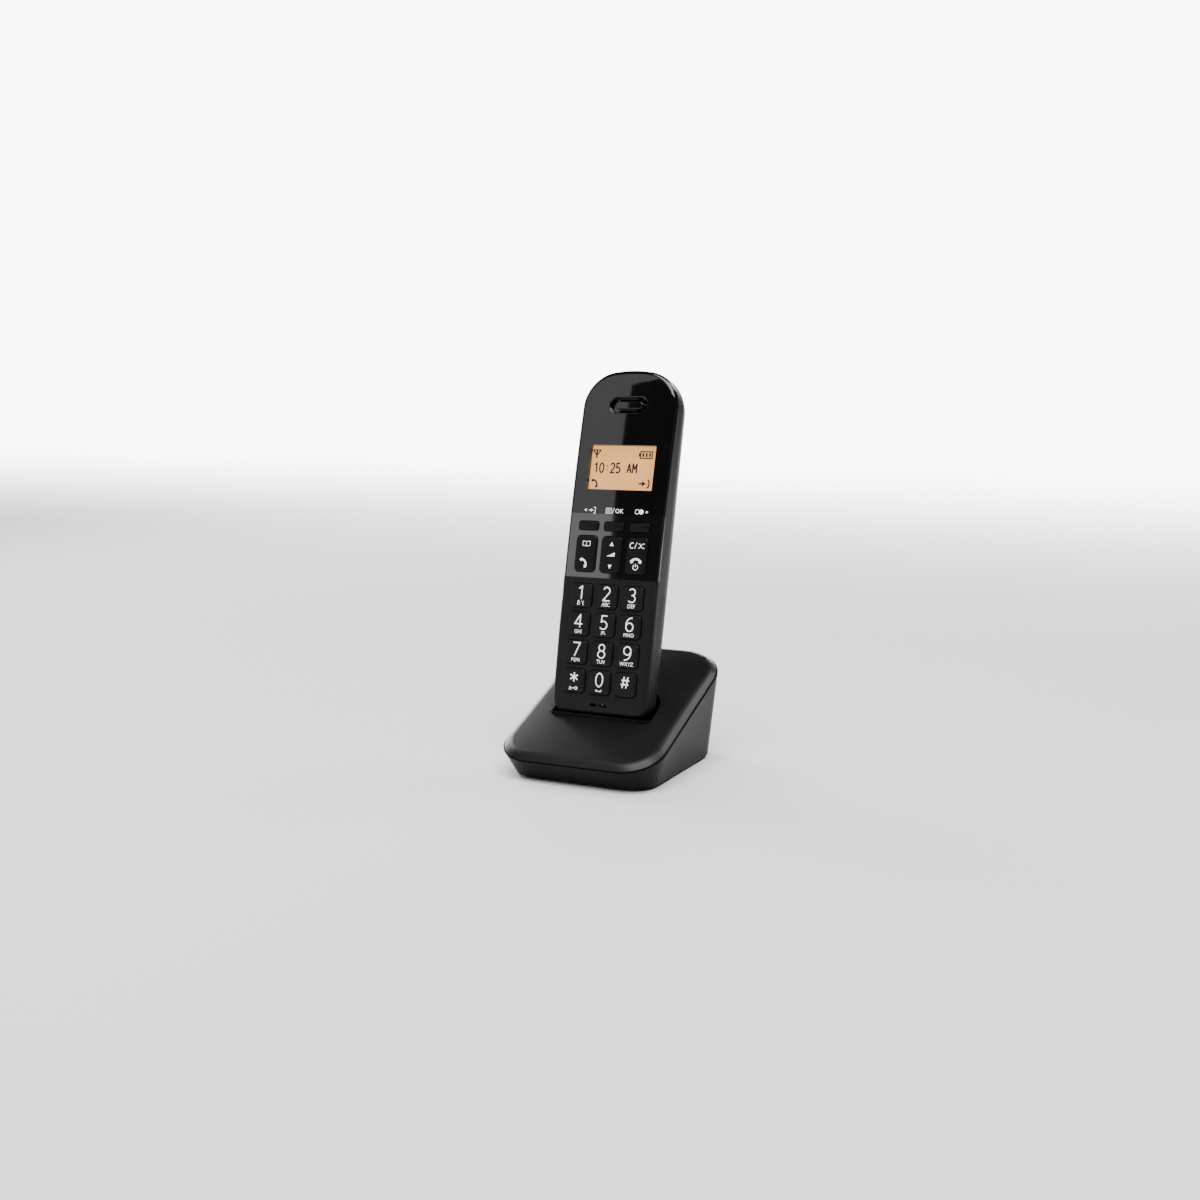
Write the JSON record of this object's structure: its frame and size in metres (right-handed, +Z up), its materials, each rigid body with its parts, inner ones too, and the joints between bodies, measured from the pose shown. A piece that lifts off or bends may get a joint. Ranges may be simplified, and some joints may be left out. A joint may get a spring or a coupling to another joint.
{
  "type": "cordless telephone with charging base",
  "caption": "Cordless telephone handset with a display and keypad, standing tilted back in a wedge-shaped charging base with a line socket.",
  "frame": {"origin": "on the table under the middle of the base's outline, which is the object's bounding box", "axes": "+Z up; the front of the base faces -Y and the handset leans back towards +Y; X is across"},
  "size_m": [0.078, 0.092, 0.1789],
  "materials": {
    "case_black": "fine satin texture",
    "gloss_black": "polished",
    "window_clear": "clear hard-coated plastic",
    "key_black": "matte with printed legends",
    "function_key_black": "satin with printed legends",
    "base_black": "fine spark texture",
    "base_lower_black": "satin",
    "rubber_black": "matte",
    "rubber_grey": "matte",
    "lcd_amber": "lit display",
    "white_plastic": "moulded",
    "board_green": "solder mask",
    "steel_spring": "nickel plated",
    "steel_sheet": "tinned",
    "contact_metal": "nickel plated, polished",
    "cell_wrap": "printed shrink sleeve",
    "speaker_black": "moulded with a mesh",
    "screw_steel": "black zinc",
    "component_black": "moulded",
    "ribbon_amber": "polyimide film"
  },
  "bodies": {
    "base": {"base_top_cover": "base_black", "base_bottom_cover": "base_lower_black", "contact_carrier": "component_black", "base_circuit_board": "board_green", "line_jack": "component_black", "power_jack": "component_black", "locator_switch": "component_black", "base_radio_shield": "steel_sheet", "base_board_parts": "component_black", "base_antennas": "steel_sheet", "base_screws": "screw_steel", "rubber_feet": "rubber_black"},
    "handset": {"handset_front_case": "case_black", "lens_panel": "gloss_black", "function_key_frame": "gloss_black", "display_window": "window_clear", "earpiece_grille": "gloss_black", "handset_rear_case": "case_black", "keypad_mat": "rubber_grey", "key_domes": "steel_spring", "handset_circuit_board": "board_green", "radio_shield": "steel_sheet", "lcd_glass": "lcd_amber", "lcd_backlight": "white_plastic", "display_ribbon": "ribbon_amber", "earpiece_gasket": "rubber_grey", "earpiece_speaker": "speaker_black", "ringer_speaker": "speaker_black", "microphone_boot": "rubber_grey", "microphone": "steel_sheet", "battery_cell_left": "cell_wrap", "battery_cell_right": "cell_wrap", "battery_springs": "steel_spring", "battery_terminals": "steel_spring", "charge_terminals": "contact_metal", "handset_antenna": "steel_sheet", "handset_screws": "screw_steel"},
    "battery_cover": {"battery_cover": "case_black"},
    "key_1": {"key_1": "key_black"},
    "key_2": {"key_2": "key_black"},
    "key_3": {"key_3": "key_black"},
    "key_4": {"key_4": "key_black"},
    "key_5": {"key_5": "key_black"},
    "key_6": {"key_6": "key_black"},
    "key_7": {"key_7": "key_black"},
    "key_8": {"key_8": "key_black"},
    "key_9": {"key_9": "key_black"},
    "key_star": {"key_star": "key_black"},
    "key_0": {"key_0": "key_black"},
    "key_hash": {"key_hash": "key_black"},
    "soft_key_left": {"soft_key_left": "function_key_black"},
    "soft_key_middle": {"soft_key_middle": "function_key_black"},
    "soft_key_right": {"soft_key_right": "function_key_black"},
    "talk_key": {"talk_key": "function_key_black"},
    "volume_key": {"volume_key": "function_key_black"},
    "end_key": {"end_key": "function_key_black"},
    "locator_button": {"locator_button": "case_black"},
    "charge_contact_left": {"charge_contact_left": "contact_metal"},
    "charge_contact_right": {"charge_contact_right": "contact_metal"}
  },
  "joints": [
    {"name": "handset_lift", "type": "slide", "parent": "base", "child": "handset", "axis": [0, 0.2351, 0.972], "range_m": [0, 0.05]},
    {"name": "battery_cover_slide", "type": "slide", "parent": "handset", "child": "battery_cover", "axis": [0, -0.2351, -0.972], "range_m": [0, 0.006]},
    {"name": "key_1_press", "type": "slide", "parent": "handset", "child": "key_1", "axis": [0, 0.9772, -0.2123], "range_m": [0, 0.0007], "stiffness_N_per_m": 1500, "springref_m": -0.0002},
    {"name": "key_2_press", "type": "slide", "parent": "handset", "child": "key_2", "axis": [0, 0.9772, -0.2123], "range_m": [0, 0.0007], "stiffness_N_per_m": 1500, "springref_m": -0.0002},
    {"name": "key_3_press", "type": "slide", "parent": "handset", "child": "key_3", "axis": [0, 0.9772, -0.2123], "range_m": [0, 0.0007], "stiffness_N_per_m": 1500, "springref_m": -0.0002},
    {"name": "key_4_press", "type": "slide", "parent": "handset", "child": "key_4", "axis": [0, 0.9796, -0.2009], "range_m": [0, 0.0007], "stiffness_N_per_m": 1500, "springref_m": -0.0002},
    {"name": "key_5_press", "type": "slide", "parent": "handset", "child": "key_5", "axis": [0, 0.9796, -0.2009], "range_m": [0, 0.0007], "stiffness_N_per_m": 1500, "springref_m": -0.0002},
    {"name": "key_6_press", "type": "slide", "parent": "handset", "child": "key_6", "axis": [0, 0.9796, -0.2009], "range_m": [0, 0.0007], "stiffness_N_per_m": 1500, "springref_m": -0.0002},
    {"name": "key_7_press", "type": "slide", "parent": "handset", "child": "key_7", "axis": [0, 0.9819, -0.1895], "range_m": [0, 0.0007], "stiffness_N_per_m": 1500, "springref_m": -0.0002},
    {"name": "key_8_press", "type": "slide", "parent": "handset", "child": "key_8", "axis": [0, 0.9819, -0.1895], "range_m": [0, 0.0007], "stiffness_N_per_m": 1500, "springref_m": -0.0002},
    {"name": "key_9_press", "type": "slide", "parent": "handset", "child": "key_9", "axis": [0, 0.9819, -0.1895], "range_m": [0, 0.0007], "stiffness_N_per_m": 1500, "springref_m": -0.0002},
    {"name": "key_star_press", "type": "slide", "parent": "handset", "child": "key_star", "axis": [0, 0.984, -0.178], "range_m": [0, 0.0007], "stiffness_N_per_m": 1500, "springref_m": -0.0002},
    {"name": "key_0_press", "type": "slide", "parent": "handset", "child": "key_0", "axis": [0, 0.984, -0.178], "range_m": [0, 0.0007], "stiffness_N_per_m": 1500, "springref_m": -0.0002},
    {"name": "key_hash_press", "type": "slide", "parent": "handset", "child": "key_hash", "axis": [0, 0.984, -0.178], "range_m": [0, 0.0007], "stiffness_N_per_m": 1500, "springref_m": -0.0002},
    {"name": "soft_key_left_press", "type": "slide", "parent": "handset", "child": "soft_key_left", "axis": [0, 0.9707, -0.2404], "range_m": [0, 0.0007], "stiffness_N_per_m": 1500, "springref_m": -0.0002},
    {"name": "soft_key_middle_press", "type": "slide", "parent": "handset", "child": "soft_key_middle", "axis": [0, 0.9707, -0.2404], "range_m": [0, 0.0007], "stiffness_N_per_m": 1500, "springref_m": -0.0002},
    {"name": "soft_key_right_press", "type": "slide", "parent": "handset", "child": "soft_key_right", "axis": [0, 0.9707, -0.2404], "range_m": [0, 0.0007], "stiffness_N_per_m": 1500, "springref_m": -0.0002},
    {"name": "talk_key_rock", "type": "hinge", "parent": "handset", "child": "talk_key", "pos_m": [-0.0126, 0.00115, 0.096], "axis": [1, 0, 0], "range_deg": [-2, 2], "stiffness_Nm_per_rad": 0.2},
    {"name": "volume_key_rock", "type": "hinge", "parent": "handset", "child": "volume_key", "pos_m": [0, 0.00115, 0.096], "axis": [1, 0, 0], "range_deg": [-2, 2], "stiffness_Nm_per_rad": 0.2},
    {"name": "end_key_rock", "type": "hinge", "parent": "handset", "child": "end_key", "pos_m": [0.0126, 0.00115, 0.096], "axis": [1, 0, 0], "range_deg": [-2, 2], "stiffness_Nm_per_rad": 0.2},
    {"name": "locator_button_press", "type": "slide", "parent": "base", "child": "locator_button", "axis": [0, 0, -1], "range_m": [0, 0.0007], "stiffness_N_per_m": 1500, "springref_m": -0.0002},
    {"name": "charge_contact_left_press", "type": "slide", "parent": "base", "child": "charge_contact_left", "axis": [0, -0.2351, -0.972], "range_m": [0, 0.0008], "stiffness_N_per_m": 600, "springref_m": -0.0003},
    {"name": "charge_contact_right_press", "type": "slide", "parent": "base", "child": "charge_contact_right", "axis": [0, -0.2351, -0.972], "range_m": [0, 0.0008], "stiffness_N_per_m": 600, "springref_m": -0.0003}
  ]
}
